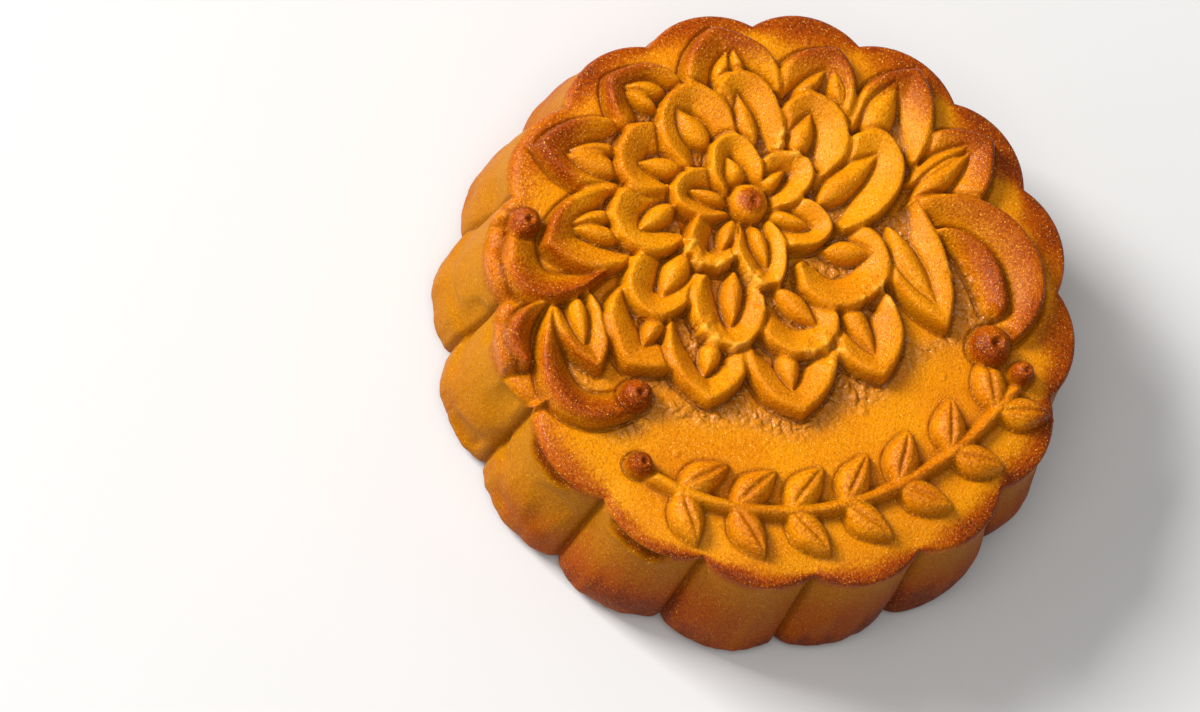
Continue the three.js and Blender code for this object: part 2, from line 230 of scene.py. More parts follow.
def noise(x, y, z=0.0):
    """Smooth noise from -1 to 1 with one swing to a unit. On a plan, z picks the pattern."""
    x, y, z = np.broadcast_arrays(x, y, z)
    cell = [np.floor(v).astype(int) for v in (x, y, z)]
    ease = [smooth(0, 1, v - c) for v, c in zip((x, y, z), cell)]
    total = np.zeros(x.shape)
    for corner in range(8):
        step = [(corner >> axis) & 1 for axis in range(3)]
        place = 0
        weight = np.ones(x.shape)
        for c, e, s in zip(cell, ease, step):
            place = SHUFFLE[(place + c + s) & (NOISE_VALUES - 1)]
            weight = weight * (e if s else 1 - e)
        total += weight * VALUES[place]
    return 2 * total - 1


def cloud(x, y, z=0.0, octaves=3):
    """Noise with finer swings laid over coarse ones, from about -1 to 1."""
    total = 0
    for octave in range(octaves):
        scale = 2.0 ** octave
        total = total + noise(x * scale + OCTAVE_SHIFT * octave, y * scale, z * scale) / scale
    return total / 1.6


def bezier(points, t):
    """Places and directions on a cubic curve."""
    a, b, c, d = (np.array(p)[None, :] for p in points)
    t = np.asarray(t, float)[:, None]
    place = a * (1 - t) ** 3 + 3 * b * t * (1 - t) ** 2 + 3 * c * t ** 2 * (1 - t) + d * t ** 3
    way = (b - a) * (1 - t) ** 2 + 2 * (c - b) * t * (1 - t) + (d - c) * t ** 2
    return place, way


def lobe_radius(angle):
    """Radius of the scalloped outline at an angle, 1 at the notches."""
    half = math.pi / LOBES
    rise = LOBE_BULGE - math.cos(half)
    arc = (math.sin(half) ** 2 + rise ** 2) / (2 * rise)
    centre = LOBE_BULGE - arc
    off = angle - 2 * half * np.round(angle / (2 * half))
    return centre * np.cos(off) + np.sqrt(arc ** 2 - (centre * np.sin(off)) ** 2)


# ---- the plan: a fine grid of heights over the top face ------------------------------------

PLAN_REACH = 1.12             # half the side of the plan, rim radii
PLAN_CELLS = 1100
PLAN_STEP = 2 * PLAN_REACH / (PLAN_CELLS - 1)
WAVER = 0.006                 # how far the moulding's lines waver, rim radii
FINE_WAVER = 0.0022


class Plan:
    """Heights in mm above the face, and masks from 0 to 1, on a grid in rim radii.

    x and y waver a little, so that what is drawn with them does. toast is browning, wet is
    pooled glaze, flaky is torn crust, and the last field is painted shade in the creases and
    hollows.
    """

    def __init__(self):
        line = np.linspace(-PLAN_REACH, PLAN_REACH, PLAN_CELLS)
        x, y = np.meshgrid(line, line)
        self.true_x, self.true_y = x, y
        self.x = x + WAVER * noise(5 * x, 5 * y, 3.3) + FINE_WAVER * noise(22 * x, 22 * y, 5.1)
        self.y = y + WAVER * noise(5 * x, 5 * y, 9.7) + FINE_WAVER * noise(22 * x, 22 * y, 7.4)
        self.torn = np.zeros(x.shape)
        for torn_x, torn_y, reach in TORN_EDGES:
            gap = np.hypot(x - torn_x, y - torn_y) / reach
            self.torn = np.maximum(self.torn, smooth(1.0, 0.6, gap))
        self.height = np.zeros(x.shape)
        self.toast = np.zeros(x.shape)
        self.wet = np.zeros(x.shape)
        self.flaky = np.zeros(x.shape)
        self.crease_shade = np.zeros(x.shape)

    def window(self, points, margin=0.05):
        """The part of the grid around some points."""
        points = np.asarray(points)
        low = (points.min(0) - margin + PLAN_REACH) / PLAN_STEP
        high = (points.max(0) + margin + PLAN_REACH) / PLAN_STEP
        low = np.clip(low.astype(int), 0, PLAN_CELLS - 1)
        high = np.clip(high.astype(int) + 1, 1, PLAN_CELLS)
        return slice(low[1], high[1]), slice(low[0], high[0])


def read(field, x, y):
    """A field of the plan at any places, between its grid points."""
    u = np.clip((x + PLAN_REACH) / PLAN_STEP, 0, PLAN_CELLS - 1.001)
    v = np.clip((y + PLAN_REACH) / PLAN_STEP, 0, PLAN_CELLS - 1.001)
    i, j = u.astype(int), v.astype(int)
    fu, fv = u - i, v - j
    near = mix(field[j, i], field[j, i + 1], fu)
    far = mix(field[j + 1, i], field[j + 1, i + 1], fu)
    return mix(near, far, fv)


def blur(field, reach_mm):
    """A field blurred softly, by three box averages along each axis."""
    reach = max(1, int(round(reach_mm / RIM / PLAN_STEP)))
    for axis in (0, 1):
        for _ in range(3):
            pad = [(0, 0), (0, 0)]
            pad[axis] = (reach + 1, reach)
            sums = np.cumsum(np.pad(field, pad, mode="edge"), axis=axis)
            size = field.shape[axis]
            high = np.take(sums, range(2 * reach + 1, 2 * reach + 1 + size), axis)
            low = np.take(sums, range(size), axis)
            field = (high - low) / (2 * reach + 1)
    return field


# ---- shapes laid on the plan ---------------------------------------------------------------

PETAL_STEPS = 30              # points along one side of a petal
CURVE_STEPS = 40              # points along a scroll or the stem
TEAR_SWINGS = 48              # swings of a torn edge to a rim radius
FLAKE_SWINGS = 60
PETAL_TOAST = 0.16            # least browning of a petal, as a share of its ring's
SEED_TOAST = 0.2              # browning of a seed, as a share of its ring's
BAR_TOAST = 0.95
LEAF_TOAST = 0.45
LEAF_GROOVE = 0.5             # depth of the groove along a leaf, mm
GROOVE_WIDTH = 0.14           # its half width, against the leaf's
STEM_CREST = 0.1              # where the stem's crest lies across it
BALL_SHOULDER = 0.35          # height of a knob's edge, as a share of its top's
BALL_ROUGHNESS = 0.14         # mm


def crease_at(gap):
    """1 along a crease and 0 away from it, by the distance in mm."""
    return bell(gap, CREASE_WIDTH)


def signed_distance(edge, x, y):
    """Distance to an open edge, positive on the inner side of it and its closing line."""
    nearest = np.full(x.shape, np.inf)
    inside = np.zeros(x.shape, bool)
    following = np.roll(edge, -1, axis=0)
    for row, ((ax, ay), (bx, by)) in enumerate(zip(edge, following)):
        ex, ey = bx - ax, by - ay
        if row < len(edge) - 1:
            t = np.clip(((x - ax) * ex + (y - ay) * ey) / (ex * ex + ey * ey + TINY), 0, 1)
            nearest = np.minimum(nearest, (x - ax - t * ex) ** 2 + (y - ay - t * ey) ** 2)
        if abs(ey) > TINY:
            crosses = (ay > y) != (by > y)
            inside ^= crosses & (x < ax + (y - ay) * ex / ey)
    return np.where(inside, 1, -1) * np.sqrt(nearest)


def petal_side(petal, ring):
    """The petal's edge from its left root round the tip to its right root."""
    tip_x, tip_y, base_x, base_y, left, right, _ = petal
    axis = np.array([tip_x - base_x, tip_y - base_y])
    side = np.array([-axis[1], axis[0]]) / np.hypot(*axis)
    along = np.sin(np.pi / 2 * np.linspace(0, 1, PETAL_STEPS))
    spread = mix(ring["root"], 1, np.sin(np.pi / 2 * np.clip(along / 0.45, 0, 1)))
    width = spread * (1 - along ** ring["full"]).clip(0) ** ring["sharp"]
    spine = np.array([base_x, base_y]) + along[:, None] * axis
    there = spine + left * width[:, None] * side
    back = spine - right * width[:, None] * side
    return np.vstack([there, back[-2::-1]])


def petal_height(rim_width, lip, along, depth):
    """A petal's height in mm, and the way in across its rim: 0 at the edge, 1 at the floor."""
    band = RIM_WIDTH * rim_width * mix(ROOT_WIDTH, 1.0, smooth(-0.05, 0.5, along))
    inward = depth / band
    rim = RELIEF * mix(ROOT_RELIEF, 1.0, smooth(0.0, 0.8, along))
    top = rim * (1 - RIM_FALL * np.clip(inward, 0, 1) ** 1.7)
    top = mix(top, DISH_FLOOR, smooth(1.0, 1.0 + FLOOR_STEP / (band * RIM), inward))
    top = top - 0.9 * lip * (1 - np.clip(depth * RIM / lip, 0, 1)) ** 2.2
    return top, inward


def petal_toast(x, y, along, inward):
    """Browning of a petal: strongest on the edge of its tip, and far from the face's middle."""
    far = smooth(0.5, 0.95, np.hypot(x, y))
    edge = mix(1, 0.55, np.clip(inward, 0, 1)) * smooth(0.1, 0.75, along)
    return np.maximum(far * edge, PETAL_TOAST)


def lay_petal(plan, petal, ring):
    """A raised rim that slopes inwards to a sunken floor, over all that lies behind it."""
    outline = petal_side(petal, ring)
    area = plan.window(outline)
    x, y = plan.x[area], plan.y[area]
    torn = plan.torn[area]
    base = np.array(petal[2:4])
    axis = np.array(petal[0:2]) - base
    along = ((x - base[0]) * axis[0] + (y - base[1]) * axis[1]) / (axis @ axis)
    tear = torn * TEAR * cloud(TEAR_SWINGS * x, TEAR_SWINGS * y, 2.0)
    depth = signed_distance(outline, x, y) + tear
    top, inward = petal_height(petal[6], ring["lip"], along, depth)
    ragged = cloud(FLAKE_SWINGS * x, FLAKE_SWINGS * y, 8.0)
    flake = torn * smooth(0.05, 0.012, depth)
    top = top + flake * FLAKE * ragged
    cover = smooth(-STEP / RIM, STEP / RIM, depth)
    foot = crease_at(depth * RIM + STEP) * smooth(-0.1, 0.1, along)
    plan.height[area] = mix(plan.height[area] - CREASE * foot, top, cover)
    plan.flaky[area] = mix(plan.flaky[area], flake * smooth(-0.2, 0.4, ragged), cover)
    browned = petal_toast(plan.true_x[area], plan.true_y[area], along, inward)
    plan.toast[area] = mix(plan.toast[area], ring["toast"] * browned, cover)
    plan.wet[area] = mix(plan.wet[area], smooth(0.95, 1.1, inward), cover)


def lay_seed(plan, seed, toast, groove=0.0):
    """An almond that shows where it stands higher than what is there, in a crease.

    groove is the depth in mm of a groove along its middle.
    """
    x0, y0, x1, y1, half = seed
    area = plan.window([(x0, y0), (x1, y1)], margin=half + 0.03)
    x, y = plan.x[area], plan.y[area]
    length = math.hypot(x1 - x0, y1 - y0)
    way_x, way_y = (x1 - x0) / length, (y1 - y0) / length
    along = ((x - x0) * way_x + (y - y0) * way_y) / length
    across = (y - y0) * way_x - (x - x0) * way_y
    beside = (along > 0) & (along < 1)
    clipped = np.clip(along, 0, 1)
    width = SEED_GIRTH * half * np.sin(np.pi * clipped ** 0.85).clip(0) ** 0.85
    off = np.abs(across) / np.maximum(width, TINY)
    dome = (1 - np.clip(off, 0, 1) ** 2.0) ** 0.5
    ends = np.sin(np.pi * clipped).clip(0) ** 0.22
    gap = (np.abs(across) - width) * RIM
    plan.height[area] -= beside * ends * CREASE * crease_at(gap)
    top = SEED_RISE * dome * ends - groove * bell(off, GROOVE_WIDTH) * smooth(0, 0.3, along)
    higher = (off < 1) & beside & (top > plan.height[area])
    plan.height[area] = np.where(higher, top, plan.height[area])
    plan.toast[area] = np.where(higher, toast * dome * ends, plan.toast[area])
    plan.wet[area] = np.where(higher, 0, plan.wet[area])


def follow(points, x, y):
    """Distance to a curve, place along it from 0 to 1, and side: 1 is right of the way."""
    t = np.linspace(0, 1, CURVE_STEPS)
    place, _ = bezier(points, t)
    nearest = np.full(x.shape, np.inf)
    share = np.zeros(x.shape)
    side = np.ones(x.shape)
    for i in range(CURVE_STEPS - 1):
        ex, ey = place[i + 1] - place[i]
        px, py = x - place[i, 0], y - place[i, 1]
        s = np.clip((px * ex + py * ey) / (ex * ex + ey * ey), 0, 1)
        gap = np.hypot(px - s * ex, py - s * ey)
        closer = gap < nearest
        nearest = np.where(closer, gap, nearest)
        share = np.where(closer, (i + s) / (CURVE_STEPS - 1), share)
        side = np.where(closer, np.sign(px * ey - py * ex), side)
    return nearest, share, side


def bar_section(off, crest):
    """Fall from a bar's crest, 0 to 1, and height of its foot on that side of the crest."""
    reach = np.where(off > crest, 1 - crest, 1 + crest)
    slope = np.clip(np.abs(off - crest) / reach, 0, 1)
    steep = (off > crest) == (crest > 0)
    fall = np.where(steep, slope ** 3, slope ** 1.6)
    foot = np.where(steep, 0.55, 0.12)
    return fall, foot


def lay_bar(plan, points, widths, crest, rise=RELIEF, toast=BAR_TOAST, cut=True):
    """A round-topped bar along a curve, with its crest shifted to one side.

    With cut it lies in a crease, over all that is behind it. Without, it shows only where it
    stands higher than what is there.
    """
    area = plan.window(points, margin=0.1)
    distance, t, side = follow(points, plan.x[area], plan.y[area])
    start, middle, end = widths
    bulge = 2 * (2 * middle - (start + end) / 2)
    width = start * (1 - t) ** 2 + bulge * t * (1 - t) + end * t ** 2
    fall, foot = bar_section(side * distance / width, crest)
    depth = width - distance
    top = rise * (1 - (1 - foot) * fall)
    top = top - BAR_DROP * (1 - np.clip(depth * RIM / BAR_EDGE, 0, 1)) ** 2
    cover = smooth(-STEP / RIM, STEP / RIM, depth)
    if cut:
        plan.height[area] -= CREASE * crease_at(depth * RIM + STEP)
    else:
        cover = cover * (top > plan.height[area])
    plan.height[area] = mix(plan.height[area], top, cover)
    browned = toast * (1 - 0.75 * fall) * smooth(-0.1, 0.45, t)
    plan.toast[area] = mix(plan.toast[area], browned, cover)
    plan.wet[area] = plan.wet[area] * (1 - cover)


def lay_ball(plan, ball, rise=BALL_RISE, pale_edge=2.2, pit=0.7):
    """A knob with a domed top and a small baked-in pit, pit mm in depth, in a crease.

    Its browning fades out at pale_edge radii from its middle, so a large number browns it all.
    """
    bx, by, radius = ball
    area = plan.window([(bx, by)], margin=1.6 * radius)
    x, y = plan.x[area], plan.y[area]
    out = np.hypot(x - bx, y - by) / radius
    plan.height[area] *= 1 - 0.5 * smooth(1.6, 0.9, out)
    plan.height[area] -= CREASE * crease_at((out - 1.08) * radius * RIM)
    dome = np.sqrt((1 - np.clip(out, 0, 1) ** 2).clip(0))
    from_pit = np.hypot(x - bx - 0.12 * radius, y - by + 0.1 * radius) / radius
    top = rise * mix(BALL_SHOULDER, 1.0, dome) - pit * bell(from_pit, 0.2)
    top = top + 0.4 * pit * bell(from_pit - 0.36, 0.12)
    top = top + BALL_ROUGHNESS * cloud(28 * x, 28 * y, 6.0)
    cover = smooth(-STEP / RIM, STEP / RIM, radius * (1 - out))
    plan.height[area] = np.maximum(plan.height[area], mix(plan.height[area], top, cover))
    plan.toast[area] = mix(plan.toast[area], smooth(pale_edge, 0.35 * pale_edge, out), cover)
    plan.wet[area] = plan.wet[area] * (1 - cover)


def lay_leaf_spray(plan):
    """The curved stem and its pairs of leaves."""
    t = (np.arange(LEAVES) + 0.5) / LEAVES
    roots, ways = bezier(STEM, t)
    for root, way in zip(roots, ways):
        for side in (-1, 1):
            angle = math.atan2(way[1], way[0]) + side * LEAF_SPREAD
            tip = root + LEAF_LENGTH * np.array([math.cos(angle), math.sin(angle)])
            leaf = (*root, *tip, LEAF_HALF_WIDTH)
            lay_seed(plan, leaf, LEAF_TOAST, groove=LEAF_GROOVE)
    widths = (STEM_HALF_WIDTH,) * 3
    lay_bar(plan, STEM, widths, STEM_CREST, rise=STEM_RISE, toast=LEAF_TOAST, cut=False)


GLAZE_CREEP = 2.9             # how far the glaze reaches from the moulding, mm
GLAZE_ENDS = (0.9, 0.72)      # it stays off the cake's rim, rim radii
WRINKLE = 0.28                # height of its wrinkles, mm
BLISTERS = 70
BLISTER_RADII = (0.008, 0.016)
BLISTER_PLACES = (0.1, 0.96)  # distances from the middle of the face
BLISTER_RISE = 0.3            # mm
OPEN_FACE = 0.6               # what is lower than this is open face, mm


def lay_glaze(plan):
    """Wrinkled glaze that has pooled on the face along the flower's lower side."""
    raised = smooth(0.3, 1.0, plan.height)
    beside = smooth(0.05, 0.25, blur(raised, GLAZE_CREEP)) * (1 - raised)
    x, y = plan.true_x, plan.true_y
    pool = beside * smooth(-0.5, 0.0, cloud(6 * x, 6 * y, 2.5)) * smooth(0.2, -0.1, y)
    pool = pool * smooth(*GLAZE_ENDS, np.hypot(x, y))
    wrinkles = np.abs(cloud(30 * x, 30 * y, 1.0, octaves=2))
    plan.height += pool * (WRINKLE * smooth(0.0, 0.2, wrinkles) - WRINKLE / 2)
    plan.wet = np.maximum(plan.wet, pool)


def lay_blisters(plan):
    """Small baked bubbles, each in a faint ring, on the open parts of the face."""
    draw = np.random.default_rng(5)
    for _ in range(BLISTERS):
        radius = draw.uniform(*BLISTER_RADII)
        reach = draw.uniform(*BLISTER_PLACES)
        angle = draw.uniform(0, 2 * math.pi)
        bx, by = reach * math.cos(angle), reach * math.sin(angle)
        area = plan.window([(bx, by)], margin=0.03)
        if plan.height[area].max() > OPEN_FACE:
            continue
        out = np.hypot(plan.true_x[area] - bx, plan.true_y[area] - by) / radius
        plan.height[area] += BLISTER_RISE * bell(out, 1.0) - 0.06 * bell(out - 1.6, 0.4)


def lay_ring(plan, ring):
    """A ring's petals, and then its seeds."""
    petals, seeds, shape = ring
    for petal in petals:
        lay_petal(plan, petal, shape)
    for seed in seeds:
        lay_seed(plan, seed, SEED_TOAST * shape["toast"])


def lay_scrolls(plan, scrolls):
    for points, widths, crest in scrolls:
        lay_bar(plan, points, widths, crest)


def soften(plan):
    """Rounds off sharp crests and lets the creases stay."""
    soft = blur(plan.height, 0.12)
    plan.height = np.minimum(soft + 0.02, mix(plan.height, soft, 0.4))


def mark_hollow_shade(plan):
    """Paints shade into the creases and, more weakly, into the broader hollows."""
    narrow = smooth(0.03, 0.3, blur(plan.height, 0.35) - plan.height)
    broad = smooth(0.2, 1.5, blur(plan.height, 1.2) - plan.height)
    plan.crease_shade = blur(np.maximum(narrow, 0.45 * broad), 0.15)


def make_plan():
    """The whole moulded face, from what lies behind to what lies in front."""
    plan = Plan()
    lay_ring(plan, BACK_RING)
    lay_scrolls(plan, RIGHT_SCROLLS)
    lay_scrolls(plan, LEFT_SCROLLS)
    lay_ring(plan, SIDE_RING)
    lay_scrolls(plan, TOP_SCROLLS)
    for ring in (OUTER_RING, MIDDLE_RING, INNER_RING):
        lay_ring(plan, ring)
    lay_glaze(plan)
    lay_leaf_spray(plan)
    for ball in BALLS:
        lay_ball(plan, ball)
    lay_ball(plan, BUD, rise=BUD_RISE, pale_edge=0.95, pit=0.35)
    lay_blisters(plan)
    soften(plan)
    mark_hollow_shade(plan)
    return plan


# ---- the surface of the whole cake ---------------------------------------------------------

DISC_RINGS = 215              # rings of points from the middle of the face to its edge
SHOULDER_STEPS = 7
WALL_RINGS = 64
BASE_EDGE_STEPS = 9
BASE_RINGS = (0.6, 0.3, 0.1)  # rings of points in the base, as shares of its radius
TRIANGLES = 190000            # in the finished mesh

SHOULDER = 0.7                # rounding of the rim, mm
SOFT_SHOULDER = 1.9           # the same on the softest side
SOFT_SIDE = 168.0             # middle of the softer, paler side, degrees from +X
BASE_EDGE = 2.4               # rounding of the bottom edge, mm

# Unevenness of the wall, in mm. The first four are strongest at the foot.
LOBE_SWELL = 0.3              # of one lobe against the next
WALL_SWELL = 0.5              # about as wide as a lobe
WALL_RIPPLE = 0.3             # small lumps
WALL_STREAK = 0.12            # fine upright streaks
NOTCH_DEPTH = 0.5             # sharpening of the notches between lobes
NOTCH_WIDTH = 0.07            # half width of a notch, against half a lobe's
DENT = 0.6                    # dents in the soft side
SLIT_DEPTH = 1.2
SLIT_HEIGHT = 0.6             # half height of a slit
SLIT_LIP = 0.55               # the swollen crust under a slit

FACE_SWELL = 0.14             # slow rise and fall of the top face, mm
FACE_GRAIN = 0.02             # fine unevenness of the top face, mm
FACE_DROOP = 0.45             # how far the face sinks towards its edge, mm


def softness(angle):
    """1 in the middle of the cake's softer side, 0 beyond it."""
    return smooth(0.45, 1.0, np.cos(angle - math.radians(SOFT_SIDE)))


def shoulder(angle):
    """Rounding of the rim in mm at an angle."""
    return mix(SHOULDER, SOFT_SHOULDER, softness(angle))


def girth(z):
    """Radius of the wall at a height, against the rim."""
    up = np.clip(z / FACE, 0, 1)
    return mix(BELLY, 1.0, smooth(BELLY_LEVEL, 1.0, up))


def notch_mask(angle):
    """1 along the notches between two lobes, 0 elsewhere."""
    turn = (angle * LOBES / math.pi + 1) % 2 - 1
    return bell(1 - np.abs(turn), NOTCH_WIDTH)


def slit_mask(angle, z):
    """1 in the slits under the rim, 0 elsewhere."""
    mask = np.zeros(np.broadcast(angle, z).shape)
    for slit_lobe in SLIT_LOBES:
        off = (angle - math.radians(slit_lobe)) * LOBES / math.pi
        level = FACE - 1.6 - 0.6 * off ** 2 + 0.4 * noise(5 * off, 0.0, slit_lobe)
        slit = bell(z - level, SLIT_HEIGHT) * smooth(0.65, 0.35, np.abs(off + 0.1))
        mask = np.maximum(mask, slit)
    return mask


def wall_offset(angle, z):
    """Unevenness of the wall in mm, outwards."""
    x, y = np.cos(angle), np.sin(angle)
    lobe = np.round(angle / (2 * math.pi / LOBES))
    low = smooth(FACE, 0, z)
    offset = LOBE_SWELL * noise(lobe * 3.7, 0.5, 0.0) * low
    offset = offset + WALL_SWELL * noise(4 * x, 4 * y, z / 9) * (0.2 + low)
    offset = offset + WALL_RIPPLE * noise(13 * x, 13 * y, z / 5) * low
    offset = offset + WALL_STREAK * noise(34 * x, 34 * y, z / 25) * (0.3 + low)
    offset = offset - NOTCH_DEPTH * notch_mask(angle)
    dents = smooth(0.1, 0.8, noise(9 * x, 9 * y, z / 5 + 2.0))
    offset = offset - DENT * dents * softness(angle)
    return offset - SLIT_DEPTH * slit_mask(angle, z) + SLIT_LIP * slit_mask(angle, z + 1.9)


def face_height(plan, x, y):
    """Height of the top surface in mm at a place in rim radii."""
    out = np.hypot(x, y) / lobe_radius(np.arctan2(y, x))
    z = FACE + read(plan.height, x, y)
    z = z + FACE_SWELL * noise(3 * x, 3 * y, 11.0) + FACE_GRAIN * noise(30 * x, 30 * y, 4.0)
    return z - FACE_DROOP * smooth(0.88, 1.0, out)


def disc_grid(rings):
    """A square grid bent into a disc of radius 1: plan places, quads and the outer loop."""
    side = 2 * rings + 1
    line = np.linspace(-1, 1, side)
    u, v = np.meshgrid(line, line)
    wide = np.abs(u) > np.abs(v)
    reach = np.where(wide, u, v)
    safe = np.where(reach == 0, 1, reach)
    angle = np.where(wide, math.pi / 4 * v / safe, math.pi / 2 - math.pi / 4 * u / safe)
    x, y = reach * np.cos(angle), reach * np.sin(angle)
    index = np.arange(side * side).reshape(side, side)
    quads = np.stack([index[:-1, :-1], index[:-1, 1:], index[1:, 1:], index[1:, :-1]], -1)
    loop = np.concatenate([index[0, :-1], index[:-1, -1], index[-1, :0:-1], index[:0:-1, 0]])
    return x.ravel(), y.ravel(), quads.reshape(-1, 4), loop


def wall_profile(edge, soft):
    """Rings from the face's edge down the wall to the middle of the base.

    Each is a share of the wall's radius and a height in mm.
    """
    profile = []
    for step in np.linspace(0.15, 1, SHOULDER_STEPS):
        bend = step * math.pi / 2
        share = 1 - soft / RIM * (1 - math.sin(bend))
        profile.append((share, edge - soft * (1 - math.cos(bend))))
    for step in np.linspace(0, 1, WALL_RINGS)[1:]:
        profile.append((1.0, mix(edge - soft, BASE_EDGE, step)))
    for step in np.linspace(0, 1, BASE_EDGE_STEPS)[1:]:
        bend = step * math.pi / 2
        share = 1 - BASE_EDGE / RIM * (1 - math.cos(bend))
        profile.append((share, BASE_EDGE * (1 - math.sin(bend))))
    for share in BASE_RINGS:
        profile.append((share, 0.0))
    return profile


def wall_points(share, z, turn, top):
    """One ring of points in mm. Above top they lie on the rounded rim."""
    scallop = lobe_radius(turn)
    on_wall = smooth(0.93, 0.985, share) * (z <= top)
    radius = share * scallop * girth(z) * RIM + on_wall * wall_offset(turn, z)
    radius = np.where(z > top, share * scallop * RIM, radius)
    return np.stack([radius * np.cos(turn), radius * np.sin(turn), z], -1)


def cake_surface(plan):
    """The closed surface: points in mm, quads, the last ring of the base, and its centre."""
    dx, dy, quads, loop = disc_grid(DISC_RINGS)
    angle = np.arctan2(dy, dx)
    out = np.hypot(dx, dy)
    reach = out * (1 - shoulder(angle) / RIM) * mix(1, lobe_radius(angle), smooth(0.5, 1, out))
    x, y = reach * np.cos(angle), reach * np.sin(angle)
    z = face_height(plan, x, y)
    points = [np.stack([x * RIM, y * RIM, z], -1)]
    faces = [quads]
    last = loop
    total = len(dx)
    turn = angle[loop]
    edge = z[loop]
    soft = shoulder(turn)
    for share, level in wall_profile(edge, soft):
        level = level + np.zeros(len(loop))
        points.append(wall_points(share, level, turn, edge - soft))
        ring = total + np.arange(len(loop))
        faces.append(np.stack([last, ring, np.roll(ring, -1), np.roll(last, -1)], -1))
        last = ring
        total += len(loop)
    points.append(np.zeros((1, 3)))
    return np.concatenate(points), np.concatenate(faces), last, total


def mesh_from(points, quads, cap, centre):
    """A Blender mesh of quads, with a fan that closes it at the centre point."""
    fan = np.stack([cap, np.full(len(cap), centre), np.roll(cap, -1)], -1)
    mesh = bpy.data.meshes.new(PIECE)
    mesh.vertices.add(len(points))
    mesh.vertices.foreach_set("co", (points * MM).astype(np.float32).ravel())
    corners = np.concatenate([quads.ravel(), fan.ravel()]).astype(np.int32)
    starts = np.concatenate([
        np.arange(len(quads)) * 4,
        4 * len(quads) + np.arange(len(fan)) * 3,
    ]).astype(np.int32)
    mesh.loops.add(len(corners))
    mesh.loops.foreach_set("vertex_index", corners)
    mesh.polygons.add(len(starts))
    mesh.polygons.foreach_set("loop_start", starts)
    mesh.update(calc_edges=True)
    mesh.validate()
    return mesh


def thin_out(piece, triangles):
    """Collapses the mesh to about this many triangles, keeping its edges and hollows."""
    now = sum(len(p.vertices) - 2 for p in piece.data.polygons)
    thin = piece.modifiers.new("thin", "DECIMATE")
    thin.ratio = min(1.0, triangles / now)
    shown = bpy.context.evaluated_depsgraph_get()
    mesh = bpy.data.meshes.new_from_object(piece.evaluated_get(shown))
    piece.modifiers.clear()
    piece.data = mesh
    mesh.name = piece.name


# ---- numbers painted on the mesh for the material ------------------------------------------

BROWNED_SIDE = 0.5            # side of the rim that the oven browned most, radians from +X
NOTCH_TOAST_REACH = 0.03      # how far the rim is browned inwards at a notch, rim radii
LOBE_TOAST_REACH = 0.15       # and in the middle of a lobe
SLIT_SHADE = 1.35                # painted shade in the slits, where 1 is that of a full crease


def edge_toast(angle, px, py, patchy):
    """Browning along the edge of the face, wider but weaker on the soft side."""
    soft = softness(angle)
    radius = lobe_radius(angle)
    bulge = (radius - 1) / (LOBE_BULGE - 1)
    side = 1 + 0.55 * np.cos(angle - BROWNED_SIDE) + 0.9 * soft
    reach = mix(NOTCH_TOAST_REACH + 0.06 * soft, LOBE_TOAST_REACH, bulge)
    reach = reach * side * (1 + 0.35 * patchy)
    inward = radius - np.hypot(px, py)
    return smooth(1.0, 0.15, inward / reach) * (1 - 0.42 * soft)


def wall_toast_and_shade(angle, px, py, z):
    """Streaky browning of the wall, darkest at the foot and paler on the soft side.

    Part of it is painted light and shade. The darkening towards the foot is partly browning
    and partly painted shade. The very foot is darkened as a painted contact shadow. The wall is
    darker away from the soft side and paler on it, as painted shade and light.
    """
    streaks = noise(5 * px, 5 * py, z / 7) + 0.6 * noise(24 * px, 24 * py, z / 14)
    pale = softness(angle)
    # Darker towards the foot, partly browning and partly painted shade. Darker away from the
    # soft side and paler on it, as painted shade and light for the wall's shaded and lit sides.
    toast = smooth(FACE, 0, z) * (0.8 + 0.4 * streaks) * (1 - 0.6 * pale) + 0.25 * (1 - pale)
    # The very foot is darkened as a painted contact shadow.
    return np.maximum(toast, smooth(3.0, 0.5, z))


def all_toast_and_shade(plan, angle, px, py, z, on_top):
    """Browning of the face and its edge, of the wall, and of the lip where they meet, with the
    painted shade on the wall.
    """
    patchy = cloud(7 * px, 7 * py, 1.5)
    face = np.maximum(read(plan.toast, px, py), edge_toast(angle, px, py, patchy))
    lip = 0.55 * smooth(FACE - 4.0, FACE - 1.0, z) * (1 + patchy) * (1 - on_top)
    toast = face * (0.9 + 0.3 * patchy) * on_top + lip
    return np.maximum(toast, wall_toast_and_shade(angle, px, py, z) * (1 - on_top))


def wall_hollow_shade(angle, z):
    """Painted shade in the slits and along the notches between lobes."""
    slits = np.maximum(slit_mask(angle, z), slit_mask(angle, z + 0.9))
    return np.maximum(SLIT_SHADE * slits, 0.6 * notch_mask(angle))


def add_number(mesh, name, values):
    field = mesh.attributes.new(name, "FLOAT", "POINT")
    field.data.foreach_set("value", values.astype(np.float32))


